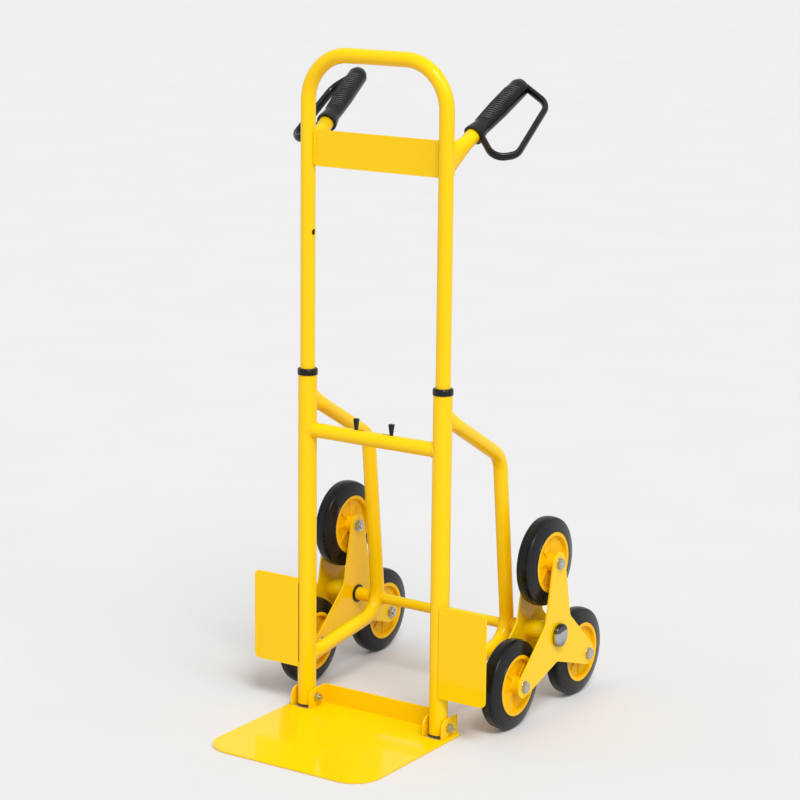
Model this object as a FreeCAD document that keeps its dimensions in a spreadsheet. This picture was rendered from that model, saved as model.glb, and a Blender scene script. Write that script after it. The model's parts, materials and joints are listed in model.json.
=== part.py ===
import FreeCAD, Part
import math
import os
import re

import Sketcher
from FreeCAD import Placement, Rotation, Vector

# A folding hand truck that climbs stairs.  Millimetres, +Z up, X across, +Y towards the wheels.
# The origin is on the floor, midway between the two uprights.

doc = FreeCAD.newDocument("StairClimbingHandTruck")

# ---------------------------------------------------------------- driving dimensions

SIZES = {
    # uprights: an upper tube slides in a lower tube
    "upright_x": (134.3, "distance from the middle to an upright's axis"),
    "lower_r": (16, "outer radius of a lower tube"),
    "upper_r": (12.5, "outer radius of every 25 mm tube"),
    "tube_wall": (1.5, "wall of every tube"),
    "lower_top_z": (586, "top of the lower tubes"),
    "lower_front_z": (7.5, "mitred foot of a lower tube, front edge"),
    "lower_back_z": (3.3, "mitred foot of a lower tube, back edge"),
    "upper_foot_z": (440, "bottom of the upper tubes, handle raised"),
    # handle loop and its plate
    "loop_axis_z": (1121, "axis of the loop's top run"),
    "loop_bend": (77.5, "axis radius of the loop's bends"),
    "badge_low_z": (937.5, "lower edge of the plate under the loop"),
    "badge_high_z": (997.3, "upper edge of the plate under the loop"),
    "sheet_steel": (3, "thickness of the plate, toe plate, ears and stars"),
    # collars and slide plugs
    "collar_r": (17.2, "outer radius of a collar"),
    "collar_tall": (11, "height of a collar's head"),
    "collar_skirt": (40, "length of a collar's skirt inside the lower tube"),
    "collar_round": (3.5, "radius of a collar's top edge"),
    "slide_gap": (0.3, "gap around a sliding piece"),
    "press_gap": (0.1, "gap around a pressed-in piece"),
    "plug_low": (10, "length of a slide plug below its tube"),
    "plug_spigot": (30, "length of a slide plug inside its tube"),
    # crossbar and latch
    "crossbar_z": (491.6, "axis of the crossbar"),
    "handle_travel": (335.7, "distance between the two latch positions"),
    "latch_pin_r": (5, "radius of a latch pin"),
    "latch_hole_r": (5.4, "radius of a latch hole"),
    "latch_x": (35, "a released lever's distance from the middle"),
    "latch_slot_in": (17, "inner end of a lever's slot"),
    "latch_slot_out": (39, "outer end of a lever's slot"),
    "latch_slot_wide": (5, "width of a lever's slot"),
    "lever_top_z": (523, "top of a lever"),
    "lever_foot": (4, "length of a lever's stem along the crossbar"),
    "lever_head": (9.5, "length of a lever's head along the crossbar"),
    "lever_wide": (5.5, "width of a lever's head across the crossbar"),
    "lever_round": (1.5, "radius of a lever's top edges"),
    "lever_neck": (1.5, "gap between a lever's head and the crossbar"),
    "lever_stem_drop": (12, "distance from a lever's top to its stem's top"),
    "pin_overlap": (3, "length of a latch pin beyond the slider, inwards"),
    "pin_short": (0.4, "gap between a released pin and the upper tube"),
    "slider_r": (10.6, "radius of the slider inside the crossbar"),
    "slider_half": (6, "half the slider's length"),
    # rear frames, bent from 25 mm tube with pressed flat ends
    "rear_top_z": (550.5, "axis of the top run where it meets the upright"),
    "rear_top_slope": (0.57, "fall of the top run"),
    "rear_low_z": (88.5, "axis of the low run where it meets the upright"),
    "rear_low_slope": (0.128, "rise of the low run"),
    "rear_bend_y": (183.5, "upper bend"),
    "rear_heel_y": (220.3, "lower bend"),
    "rear_bend": (46, "axis radius of the bends"),
    "flat_start": (40, "where the pressed flat end begins, from the upright's axis"),
    "flat_end": (4, "where the pressed flat end stops, inside the cope"),
    "flat_tall": (18, "half the height of a pressed flat end"),
    "flat_thick": (7, "half the thickness of a pressed flat end"),
    # axle
    "axle_y": (217.3, "axle"),
    "axle_z": (140.3, "axle"),
    "axle_r": (9, "radius of the axle"),
    "axle_half": (242, "half the axle's length"),
    "cap_r": (20, "radius of an axle cap"),
    "cap_in_x": (238.9, "inner face of an axle cap"),
    "cap_rim_x": (242.4, "outer edge of an axle cap's rim"),
    "cap_out_x": (245.4, "crown of an axle cap"),
    "spacer_r": (12, "radius of an axle spacer"),
    "spacer_in_x": (147.1, "inner end of an axle spacer"),
    "spacer_out_x": (175.2, "outer end of an axle spacer"),
    # three-armed stars
    "star_in_x": (179.5, "middle of the inner star plate"),
    "star_out_x": (234.5, "middle of the outer star plate"),
    "star_arm": (126, "axle to wheel bolt"),
    "star_tip_r": (19.5, "radius of an arm's tip"),
    "star_waist": (48, "axle to the corner between two arms"),
    "star_corner": (15, "radius of the corner between two arms"),
    "sleeve_r": (19, "outer radius of the sleeve between star plates"),
    "sleeve_bore": (14, "radius of the sleeve's bore"),
    "bush_flange_r": (16, "radius of a star bush's flange"),
    "bush_flange": (2.4, "thickness of a star bush's flange"),
    "bush_deep": (24, "depth of a star bush in the sleeve"),
    "running_gap": (0.06, "gap between a shaft and the bore that turns on it"),
    # wheels
    "wheel_x": (206.5, "middle plane of the wheels"),
    "tyre_r": (77.3, "radius of a tyre"),
    "tyre_half": (17.2, "half the width of a tyre"),
    "rim_r": (52, "radius of a rim"),
    "rim_thick": (6, "thickness of a rim's ring"),
    "rim_draft": (2, "slope of a rim's inner wall"),
    "rim_half": (17, "half the width of a rim"),
    "web_half": (10.5, "half the thickness of a hub's web"),
    "rib_half": (12.3, "half the width of a hub's ribs"),
    "rib_thick": (3.2, "thickness of a hub's ribs"),
    "boss_r": (13, "radius of a hub's boss at its end"),
    "boss_root_r": (16, "radius of a hub's boss at the web"),
    "boss_out": (25.5, "length of a hub's boss outside the wheel's middle plane"),
    "boss_in": (24.5, "length of a hub's boss inside the wheel's middle plane"),
    "wheel_bush_r": (7, "outer radius of a wheel bush"),
    "wheel_bush_proud": (0.6, "length of a wheel bush beyond each end of the boss"),
    "bolt_r": (5, "radius of an M10 bolt"),
    "bolt_flats": (17, "M10 bolt head, across flats"),
    "toe_bolt_r": (4, "radius of an M8 bolt"),
    "toe_bolt_flats": (13, "M8 bolt head, across flats"),
    "bolt_head": (6, "height of a bolt head"),
    "nut_tall": (7.4, "height of a nut"),
    "bolt_tail": (2, "length of bolt beyond its nut"),
    # guard plates beside the uprights
    "guard_in_x": (142.3, "inner edge of a guard plate"),
    "guard_out_x": (234, "outer edge of a guard plate"),
    "guard_low_z": (74, "lower edge of a guard plate"),
    "guard_high_z": (232, "upper edge of a guard plate"),
    "guard_front": (15.8, "front face of a guard plate, ahead of the uprights' axes"),
    "guard_thick": (2.5, "thickness of a guard plate"),
    "guard_corner": (10, "corner radius of a guard plate"),
    # toe plate
    "toe_half": (161.5, "half the toe plate's width"),
    "toe_front": (264, "toe plate's front edge, ahead of the uprights' axes"),
    "toe_back": (29, "toe plate's back edge, behind the uprights' axes"),
    "toe_corner": (50, "radius of the toe plate's front corners"),
    "toe_flange_z": (36.5, "top of the toe plate's back flange and ears"),
    "toe_slot_half": (16.4, "half the width of the slot under an upright"),
    "toe_slot_front": (18, "front end of the slot under an upright"),
    "toe_slot_back": (12.5, "back end of the slot under an upright"),
    "ear_gap": (1, "gap between an ear and its upright"),
    "ear_front": (20, "front edge of an ear, ahead of the pivot"),
    "ear_corner": (18, "radius of an ear's front corner"),
    "ear_hole_y": (20, "small hole in an ear"),
    "ear_hole_z": (10, "small hole in an ear"),
    "ear_hole_r": (2.75, "small hole in an ear"),
    "pivot_slack": (0.3, "gap between an ear and its bolt head or nut"),
    "pivot_z": (20.5, "toe plate's pivot above the floor"),
    # side handles: a stub tube with a guarded grip
    "stub_root_z": (962, "where a stub's axis meets the upright's axis"),
    "stub_rise": (30.5, "degrees a stub rises"),
    "stub_splay": (7.9, "degrees a stub turns outwards"),
    "stub_flat_tall": (25, "half the height of a stub's pressed flat end"),
    "stub_flat_thick": (6.5, "half the thickness of a stub's pressed flat end"),
    "stub_round": (58, "where a stub becomes round, along its axis"),
    "stub_end": (205, "end of a stub, along its axis"),
    "grip_start": (76, "rim of a grip, along its axis"),
    "grip_end": (222, "crown of a grip, along its axis"),
    "grip_rim_r": (17.4, "radius of a grip's rim"),
    "grip_r": (14.2, "radius of a grip's waist"),
    "grip_palm_r": (16.4, "radius of a grip's palm"),
    "grip_rim_deep": (4, "length of a grip's rim"),
    "grip_neck": (22, "narrowest place of a grip, beyond its rim"),
    "grip_swell": (72, "start of a grip's palm, beyond its rim"),
    "grip_crown": (12, "length of a grip's rounded crown"),
    "grip_floor": (2, "gap between a stub's end and the closed end of its grip"),
    "grip_bore": (12.6, "radius of a grip's bore"),
    "guard_roll": (27, "degrees a hand guard hangs below level"),
    "guard_foot_x": (12.5, "foot of a hand guard, from the grip's axis"),
    "guard_foot_z": (6, "foot of a hand guard, beyond the grip's rim"),
    "guard_knee_x": (54, "knee of a hand guard, from the grip's axis"),
    "guard_knee_z": (-21.5, "knee of a hand guard, beyond the grip's rim"),
    "guard_low_x": (79.5, "lower corner of a hand guard, from the grip's axis"),
    "guard_low_reach": (8.5, "lower corner of a hand guard, beyond the grip's rim"),
    "guard_top_x": (58, "upper corner of a hand guard, from the grip's axis"),
    "guard_top_reach": (131, "upper corner of a hand guard, beyond the grip's rim"),
    "guard_head_x": (9, "head of a hand guard, from the grip's axis"),
    "guard_head_z": (142, "head of a hand guard, beyond the grip's rim"),
    "hand_guard_half": (5.2, "half the thickness of a hand guard"),
    "hand_guard_wide": (7.5, "half the width of a hand guard"),
    "hand_guard_bend": (24, "radius of a hand guard's corners"),
}

sizes = doc.addObject("Spreadsheet::Sheet", "Sizes")
for row, (alias, (number, note)) in enumerate(SIZES.items(), start=1):
    sizes.set(f"A{row}", alias)
    sizes.set(f"B{row}", str(number))
    sizes.set(f"C{row}", note)
    sizes.setAlias(f"B{row}", alias)
doc.recompute()


def bound(expression):
    """The expression with every size's name pointing at the sheet."""
    return re.sub(r"[a-z_]\w*", lambda word: f"Sizes.{word[0]}" if word[0] in SIZES else word[0], expression)


def value(expression):
    """The number that an expression of sizes comes to."""
    return float(sizes.evalExpression(bound(expression)))


# ---------------------------------------------------------------- sketches and features

def new_body(name, x="0", y="0", z="0", rotation=Rotation()):
    """A body of its own, placed at (x, y, z)."""
    body = doc.addObject("PartDesign::Body", name)
    body.AllowCompound = True
    body.Placement = Placement(Vector(value(x), value(y), value(z)), rotation)
    for axis, text in zip("xyz", (x, y, z)):
        body.setExpression(f"Placement.Base.{axis}", bound(text))
    return body


def origin_feature(body, role):
    """One of the body's own origin planes or axes."""
    return next(feature for feature in body.Origin.OriginFeatures if feature.Role == role)


def new_sketch(body, name, plane, away="0"):
    """A sketch on one of the body's origin planes, or the distance `away` along its normal."""
    sketch = body.newObject("Sketcher::SketchObject", name)
    sketch.AttachmentSupport = [(origin_feature(body, plane), "")]
    sketch.MapMode = "FlatFace"
    sketch.AttachmentOffset = Placement(Vector(0, 0, value(away)), Rotation())
    sketch.setExpression("AttachmentOffset.Base.z", bound(away))
    return sketch


def tilted_sketch(body, name, place, rotation):
    """A sketch at a place of its own, turned from the body's XY plane."""
    sketch = body.newObject("Sketcher::SketchObject", name)
    sketch.AttachmentSupport = [(origin_feature(body, "XY_Plane"), "")]
    sketch.MapMode = "FlatFace"
    sketch.AttachmentOffset = Placement(Vector(*(value(text) for text in place)), rotation)
    return sketch


def dimension(sketch, kind, expression, *parts):
    """A constraint whose size follows an expression."""
    index = sketch.addConstraint(Sketcher.Constraint(kind, *parts, value(expression)))
    sketch.setExpression(f"Constraints[{index}]", bound(expression))


def pin(sketch, geometry, point, x, y):
    """Holds a point of the sketch at (x, y)."""
    for kind, axis, text in (("DistanceX", -2, x), ("DistanceY", -1, y)):
        if abs(value(text)) < 1e-9:
            sketch.addConstraint(Sketcher.Constraint("PointOnObject", geometry, point, axis))
        else:
            dimension(sketch, kind, text, geometry, point)


def circle(sketch, radius, x="0", y="0"):
    centre = Vector(value(x), value(y), 0)
    geometry = sketch.addGeometry(Part.Circle(centre, Vector(0, 0, 1), value(radius)))
    dimension(sketch, "Radius", radius, geometry)
    pin(sketch, geometry, 3, x, y)


def ring(sketch, outer, inner, x="0", y="0"):
    circle(sketch, outer, x, y)
    circle(sketch, inner, x, y)


def ellipse(sketch, long_half, short_half):
    """An ellipse about the sketch's origin with its long axis along x."""
    shape = Part.Ellipse(Vector(value(long_half), 0, 0), Vector(0, value(short_half), 0), Vector())
    geometry = sketch.addGeometry(shape)
    sketch.exposeInternalGeometry(geometry)
    pin(sketch, geometry, 3, "0", "0")
    sketch.addConstraint(Sketcher.Constraint("Horizontal", geometry + 1))
    dimension(sketch, "Distance", f"2 * ({long_half})", geometry + 1)
    dimension(sketch, "Distance", f"2 * ({short_half})", geometry + 2)


def polygon(sketch, corners):
    """A closed outline of straight sides."""
    points = [Vector(value(x), value(y), 0) for x, y in corners]
    first = sketch.GeometryCount
    for start, end in zip(points, points[1:] + points[:1]):
        sketch.addGeometry(Part.LineSegment(start, end))
    for index, (x, y) in enumerate(corners):
        following = (index + 1) % len(corners)
        sketch.addConstraint(Sketcher.Constraint("Coincident", first + index, 2, first + following, 1))
        pin(sketch, first + index, 1, x, y)


def rectangle(sketch, x_low, x_high, y_low, y_high):
    polygon(sketch, [(x_low, y_low), (x_high, y_low), (x_high, y_high), (x_low, y_high)])


def hexagon(sketch, flats):
    """A regular hexagon about the sketch's origin, two corners on its y axis."""
    corner = f"({flats}) / sqrt(3)"
    corners = [(f"{corner} * sin({60 * side})", f"{corner} * cos({60 * side})") for side in range(6)]
    polygon(sketch, corners)


def bent_line(sketch, corners, bend):
    """Straight runs towards each corner, joined by tangent arcs of one radius."""
    points = [Vector(value(x), value(y), 0) for x, y in corners]
    radius = value(bend)
    starts, ends, arcs = [points[0]], [], []
    for before, corner, after in zip(points, points[1:], points[2:]):
        incoming = (corner - before).normalize()
        outgoing = (after - corner).normalize()
        turn = incoming.getAngle(outgoing)
        reach = radius * math.tan(turn / 2)
        start, end = corner - incoming * reach, corner + outgoing * reach
        inward = (outgoing - incoming).normalize()
        middle = corner + inward * radius * (1 / math.cos(turn / 2) - 1)
        arcs.append((Part.Arc(start, middle, end), incoming.cross(outgoing).z > 0))
        ends.append(start)
        starts.append(end)
    ends.append(points[-1])
    runs = []
    for index, (start, end) in enumerate(zip(starts, ends)):
        runs.append(sketch.addGeometry(Part.LineSegment(start, end)))
        if index < len(arcs):
            runs.append(sketch.addGeometry(arcs[index][0]))
    pin(sketch, runs[0], 1, *corners[0])
    pin(sketch, runs[-1], 2, *corners[-1])
    for index, (arc, turns_left) in enumerate(arcs):
        before, bend_arc, after = runs[2 * index:2 * index + 3]
        enters, leaves = (1, 2) if turns_left else (2, 1)
        corner = sketch.addGeometry(Part.Point(points[index + 1]), True)
        pin(sketch, corner, 1, *corners[index + 1])
        sketch.addConstraint(Sketcher.Constraint("PointOnObject", corner, 1, before))
        sketch.addConstraint(Sketcher.Constraint("PointOnObject", corner, 1, after))
        sketch.addConstraint(Sketcher.Constraint("Tangent", before, 2, bend_arc, enters))
        sketch.addConstraint(Sketcher.Constraint("Tangent", bend_arc, leaves, after, 1))
        dimension(sketch, "Radius", bend, bend_arc)


def pad(body, sketch, length, symmetric=False, reverse=False):
    feature = body.newObject("PartDesign::Pad", f"{sketch.Name}_pad")
    feature.Profile = sketch
    feature.setExpression("Length", bound(length))
    feature.SideType = "Symmetric" if symmetric else "One side"
    feature.Reversed = reverse
    return feature


def pocket(body, sketch, length=None):
    """Cuts both ways from the sketch: right through, or by a length in all."""
    feature = body.newObject("PartDesign::Pocket", f"{sketch.Name}_pocket")
    feature.Profile = sketch
    feature.SideType = "Symmetric"
    if length:
        feature.setExpression("Length", bound(length))
    else:
        feature.Type = "ThroughAll"
    return feature


def one_way_pocket(body, sketch, length, reverse=False):
    """Cuts from the sketch against its normal, or along it when reversed."""
    feature = body.newObject("PartDesign::Pocket", f"{sketch.Name}_pocket")
    feature.Profile = sketch
    feature.setExpression("Length", bound(length))
    feature.Reversed = reverse
    return feature


def revolve(body, sketch, axis):
    feature = body.newObject("PartDesign::Revolution", f"{sketch.Name}_turned")
    feature.Profile = sketch
    feature.ReferenceAxis = (sketch, [axis])
    feature.Angle = 360
    return feature


def sweep(body, section, spine):
    feature = body.newObject("PartDesign::AdditivePipe", f"{section.Name}_swept")
    feature.Profile = section
    feature.Spine = spine
    return feature


def loft(body, start, end):
    feature = body.newObject("PartDesign::AdditiveLoft", f"{start.Name}_loft")
    feature.Profile = start
    feature.Sections = [end]
    return feature


def around(body, features, axis, count):
    """Repeats features around one of the body's axes."""
    pattern = body.newObject("PartDesign::PolarPattern", f"{features[0].Name}_around")
    pattern.Originals = features
    pattern.Axis = (origin_feature(body, axis), [""])
    pattern.Angle = 360
    pattern.Occurrences = count
    body.Tip = pattern
    return pattern


def fillet(body, feature, radius, picks):
    """Rounds the edges of the feature whose middle passes the test `picks`."""
    doc.recompute()
    edges = []
    for index, edge in enumerate(feature.Shape.Edges, start=1):
        if picks(edge, edge.CenterOfMass):
            edges.append(f"Edge{index}")
    rounded = body.newObject("PartDesign::Fillet", f"{feature.Name}_round")
    rounded.Base = (feature, edges)
    rounded.setExpression("Radius", bound(radius))
    return rounded


def straight_along(edge, axis):
    """True for a straight edge that runs along the given unit vector."""
    straight = isinstance(edge.Curve, (Part.Line, Part.LineSegment))
    return straight and edge.tangentAt(edge.FirstParameter).cross(axis).Length < 1e-6


NODES = {}


def node(name, piece):
    """Names a finished sub-part; its shape becomes parts/NAME.step."""
    piece.Label = name
    NODES[name] = piece


def group(name, pieces):
    """Several identical loose pieces kept as one sub-part."""
    compound = doc.addObject("Part::Compound", f"{name}_set")
    compound.Links = pieces
    node(name, compound)


SIDES = {"left": -1, "right": 1}
HALF_TURN = Rotation(Vector(0, 0, 1), 180)
STAR_ARMS = 3
HUB_RIBS = 8


# ---------------------------------------------------------------- frame: uprights and crossbar

def make_upright(side, sign):
    """Lower tube with a mitred foot, a pivot hole and a latch hole in its inner wall."""
    body = new_body(f"upright_{side}", x=f"{sign} * upright_x")
    section = new_sketch(body, f"upright_{side}_section", "XY_Plane", "lower_back_z")
    ring(section, "lower_r", "lower_r - tube_wall")
    pad(body, section, "lower_top_z - lower_back_z")
    mitre = new_sketch(body, f"upright_{side}_mitre", "YZ_Plane")
    rise = "(lower_front_z - lower_back_z) / (2 * lower_r)"
    polygon(mitre, [("-lower_r - 1", "lower_back_z - 1"),
                    ("lower_r", "lower_back_z - 1"),
                    ("lower_r", "lower_back_z"),
                    ("-lower_r - 1", f"lower_front_z + {rise}")])
    pocket(body, mitre)
    pivot = new_sketch(body, f"upright_{side}_pivot_hole", "YZ_Plane")
    circle(pivot, "toe_bolt_r + running_gap", "0", "pivot_z")
    pocket(body, pivot)
    latch = new_sketch(body, f"upright_{side}_latch_hole", "YZ_Plane")
    circle(latch, "latch_hole_r", "0", "crossbar_z")
    one_way_pocket(body, latch, "lower_r + 1", reverse=sign < 0)
    node(f"upright_{side}", body)


def make_crossbar():
    """Tube between the uprights, coped at both ends, with two lever slots in its top."""
    body = new_body("crossbar", z="crossbar_z")
    section = new_sketch(body, "crossbar_section", "YZ_Plane")
    ring(section, "upper_r", "upper_r - tube_wall")
    pad(body, section, "2 * upright_x", symmetric=True)
    cope = new_sketch(body, "crossbar_cope", "XY_Plane")
    for sign in SIDES.values():
        circle(cope, "lower_r", f"{sign} * upright_x")
    pocket(body, cope)
    slots = new_sketch(body, "crossbar_slots", "XY_Plane")
    rectangle(slots, "latch_slot_in", "latch_slot_out", "-latch_slot_wide / 2", "latch_slot_wide / 2")
    rectangle(slots, "-latch_slot_out", "-latch_slot_in", "-latch_slot_wide / 2", "latch_slot_wide / 2")
    one_way_pocket(body, slots, "upper_r + 1", reverse=True)
    node("crossbar", body)


def make_collar(side, sign):
    """Plastic collar on the lower tube's mouth, its skirt guiding the upper tube."""
    body = new_body(f"collar_{side}", x=f"{sign} * upright_x", z="lower_top_z")
    profile = new_sketch(body, f"collar_{side}_profile", "XZ_Plane")
    skirt = "lower_r - tube_wall - press_gap"
    bore = "upper_r + slide_gap"
    polygon(profile, [(bore, "-collar_skirt"), (skirt, "-collar_skirt"), (skirt, "0"),
                      ("collar_r", "0"), ("collar_r", "collar_tall"), (bore, "collar_tall")])
    turned = revolve(body, profile, "V_Axis")
    fillet(body, turned, "collar_round", lambda edge, middle: edge.BoundBox.ZMin > value("collar_tall") - 0.01
           and edge.BoundBox.XLength > 2 * value("collar_r") - 0.1)
    node(f"collar_{side}", body)


def make_guard_plate(side, sign):
    """Flat plate welded to the outer side of an upright; it keeps the load off the wheels."""
    body = new_body(f"side_plate_{side}")
    outline = new_sketch(body, f"side_plate_{side}_outline", "XZ_Plane", "guard_front - guard_thick")
    edges = ["guard_in_x", "guard_out_x"] if sign > 0 else ["-guard_out_x", "-guard_in_x"]
    rectangle(outline, *edges, "guard_low_z", "guard_high_z")
    plate = pad(body, outline, "guard_thick")
    fillet(body, plate, "guard_corner", lambda edge, middle: straight_along(edge, Vector(0, 1, 0))
           and abs(middle.x) > value("guard_out_x") - 1)
    cope = new_sketch(body, f"side_plate_{side}_cope", "XY_Plane")
    circle(cope, "lower_r", f"{sign} * upright_x")
    pocket(body, cope)
    node(f"side_plate_{side}", body)


# ---------------------------------------------------------------- frame: rear frames and axle

def across_run(tilt):
    """Turns a sketch square to a run in the YZ plane that rises by `tilt` degrees."""
    return Rotation(Vector(1, 0, 0), tilt - 90) * Rotation(Vector(0, 0, 1), 90)


def make_rear_frame(side, sign):
    """Bent tube behind an upright, its ends pressed flat and welded to the upright."""
    body = new_body(f"rear_frame_{side}", x=f"{sign} * upright_x")
    top_run = "rear_top_z - rear_top_slope * "
    low_run = "rear_low_z + rear_low_slope * "
    top_tilt = -math.degrees(math.atan(value("rear_top_slope")))
    low_tilt = math.degrees(math.atan(value("rear_low_slope")))
    spine = new_sketch(body, f"rear_frame_{side}_line", "YZ_Plane")
    bent_line(spine, [("flat_start", top_run + "flat_start"), ("rear_bend_y", top_run + "rear_bend_y"),
                      ("rear_heel_y", low_run + "rear_heel_y"), ("flat_start", low_run + "flat_start")],
              "rear_bend")
    place = ("0", "flat_start", top_run + "flat_start")
    section = tilted_sketch(body, f"rear_frame_{side}_section", place, across_run(top_tilt))
    ring(section, "upper_r", "upper_r - tube_wall")
    sweep(body, section, spine)
    for end, run, tilt in (("top", top_run, top_tilt), ("low", low_run, low_tilt)):
        rounds = tilted_sketch(body, f"rear_frame_{side}_{end}_round",
                               ("0", "flat_start", run + "flat_start"), across_run(tilt))
        circle(rounds, "upper_r")
        flat = tilted_sketch(body, f"rear_frame_{side}_{end}_flat",
                             ("0", "flat_end", run + "flat_end"), across_run(tilt))
        ellipse(flat, "flat_tall", "flat_thick")
        loft(body, rounds, flat)
    cope = new_sketch(body, f"rear_frame_{side}_cope", "XY_Plane")
    circle(cope, "lower_r")
    pocket(body, cope)
    hole = new_sketch(body, f"rear_frame_{side}_axle_hole", "YZ_Plane")
    circle(hole, "axle_r + running_gap", "axle_y", "axle_z")
    pocket(body, hole)
    node(f"rear_frame_{side}", body)


def make_axle():
    """One rod through both rear frames, welded there; the stars turn on its ends."""
    body = new_body("axle", y="axle_y", z="axle_z")
    section = new_sketch(body, "axle_section", "YZ_Plane")
    circle(section, "axle_r")
    pad(body, section, "2 * axle_half", symmetric=True)
    node("axle", body)


def make_axle_cap(side, sign):
    """Domed push-on cap on an axle end."""
    turn = Rotation() if sign > 0 else HALF_TURN
    body = new_body(f"axle_cap_{side}", y="axle_y", z="axle_z", rotation=turn)
    profile = new_sketch(body, f"axle_cap_{side}_profile", "XZ_Plane")
    bore = "axle_r + running_gap"
    roof = "axle_half + running_gap"
    polygon(profile, [("cap_in_x", bore), ("cap_in_x", "cap_r"), ("cap_out_x", "cap_r"),
                      ("cap_out_x", "0"), (roof, "0"), (roof, bore)])
    turned = revolve(body, profile, "H_Axis")
    fillet(body, turned, "cap_out_x - cap_rim_x", lambda edge, middle: edge.BoundBox.XLength < 0.1
           and edge.BoundBox.ZLength > 2 * value("cap_r") - 0.1
           and edge.BoundBox.XMin > value("cap_out_x") - 0.1)
    return body


def make_axle_spacer(side, sign):
    """Tube on the axle between a rear frame and its star."""
    body = new_body(f"axle_spacer_{side}", y="axle_y", z="axle_z")
    section = new_sketch(body, f"axle_spacer_{side}_section", "YZ_Plane", f"{sign} * spacer_in_x")
    ring(section, "spacer_r", "axle_r + running_gap")
    pad(body, section, "spacer_out_x - spacer_in_x", reverse=sign < 0)
    return body


# ---------------------------------------------------------------- fasteners

def make_bolt(name, head_x, grip_length, sign, y="0", z="0", radius="bolt_r", flats="bolt_flats"):
    """Hex bolt along X: the head's inner face is at `head_x`, the shank runs inwards."""
    body = new_body(name, x=head_x, y=y, z=z)
    head = new_sketch(body, f"{name}_head", "YZ_Plane")
    hexagon(head, flats)
    pad(body, head, "bolt_head", reverse=sign < 0)
    shank = new_sketch(body, f"{name}_shank", "YZ_Plane")
    circle(shank, radius)
    pad(body, shank, grip_length, reverse=sign > 0)
    return body


def make_nut(name, face_x, sign, y="0", z="0", radius="bolt_r", flats="bolt_flats"):
    """Hex nut along X: its seat is at `face_x` and it stands inwards from there."""
    body = new_body(name, x=face_x, y=y, z=z)
    outline = new_sketch(body, f"{name}_outline", "YZ_Plane")
    hexagon(outline, flats)
    circle(outline, f"{radius} + running_gap")
    pad(body, outline, "nut_tall", reverse=sign > 0)
    return body


# ---------------------------------------------------------------- handle

def make_handle_loop():
    """One bent tube: both upper tubes and the loop between them, with four latch holes."""
    body = new_body("handle_loop")
    spine = new_sketch(body, "handle_loop_line", "XZ_Plane")
    bent_line(spine, [("-upright_x", "upper_foot_z"), ("-upright_x", "loop_axis_z"),
                      ("upright_x", "loop_axis_z"), ("upright_x", "upper_foot_z")], "loop_bend")
    section = new_sketch(body, "handle_loop_section", "XY_Plane", "upper_foot_z")
    ring(section, "upper_r", "upper_r - tube_wall", "-upright_x")
    sweep(body, section, spine)
    holes = new_sketch(body, "handle_loop_latch_holes", "YZ_Plane")
    circle(holes, "latch_hole_r", "0", "crossbar_z")
    circle(holes, "latch_hole_r", "0", "crossbar_z + handle_travel")
    pocket(body, holes, "2 * upright_x")
    node("handle_loop", body)


def make_badge_plate():
    """Plain flat plate welded between the upper tubes under the loop."""
    body = new_body("badge_plate")
    outline = new_sketch(body, "badge_plate_outline", "XZ_Plane")
    rectangle(outline, "-upright_x", "upright_x", "badge_low_z", "badge_high_z")
    pad(body, outline, "sheet_steel", symmetric=True)
    cope = new_sketch(body, "badge_plate_cope", "XY_Plane")
    for sign in SIDES.values():
        circle(cope, "upper_r", f"{sign} * upright_x")
    pocket(body, cope)
    node("badge_plate", body)


def make_slide_plug(side, sign):
    """Plastic plug in an upper tube's foot; it centres the tube in the lower one."""
    body = new_body(f"slide_plug_{side}", x=f"{sign} * upright_x", z="upper_foot_z")
    profile = new_sketch(body, f"slide_plug_{side}_profile", "XZ_Plane")
    head = "lower_r - tube_wall - slide_gap"
    spigot = "upper_r - tube_wall - press_gap"
    polygon(profile, [("0", "-plug_low"), (head, "-plug_low"), (head, "0"), (spigot, "0"),
                      (spigot, "plug_spigot"), ("0", "plug_spigot")])
    revolve(body, profile, "V_Axis")
    return body


def stub_rotation(sign, roll=0):
    """Local Z runs along a side handle's axis; local X points to the outer side."""
    splay = Rotation(Vector(0, 0, 1), -sign * value("stub_splay"))
    lean = Rotation(Vector(1, 0, 0), value("stub_rise") - 90)
    return splay * lean * Rotation(Vector(0, 0, 1), sign * roll)


def make_handle_stub(side, sign):
    """Stub tube of a side handle, pressed flat and coped where it meets the upright."""
    name = f"handle_stub_{side}"
    body = new_body(name, x=f"{sign} * upright_x", z="stub_root_z", rotation=stub_rotation(sign))
    section = new_sketch(body, f"{name}_section", "XY_Plane", "stub_round")
    ring(section, "upper_r", "upper_r - tube_wall")
    pad(body, section, "stub_end - stub_round")
    quarter = Rotation(Vector(0, 0, 1), 90)
    rounds = tilted_sketch(body, f"{name}_round", ("0", "0", "stub_round"), quarter)
    circle(rounds, "upper_r")
    flat = tilted_sketch(body, f"{name}_flat", ("0", "0", "flat_end"), quarter)
    ellipse(flat, "stub_flat_tall", "stub_flat_thick")
    loft(body, rounds, flat)
    upright = Rotation(Vector(1, 0, 0), 90 - value("stub_rise"))
    cope = tilted_sketch(body, f"{name}_cope", ("0", "0", "0"), upright)
    circle(cope, "upper_r")
    pocket(body, cope)
    node(name, body)


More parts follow.
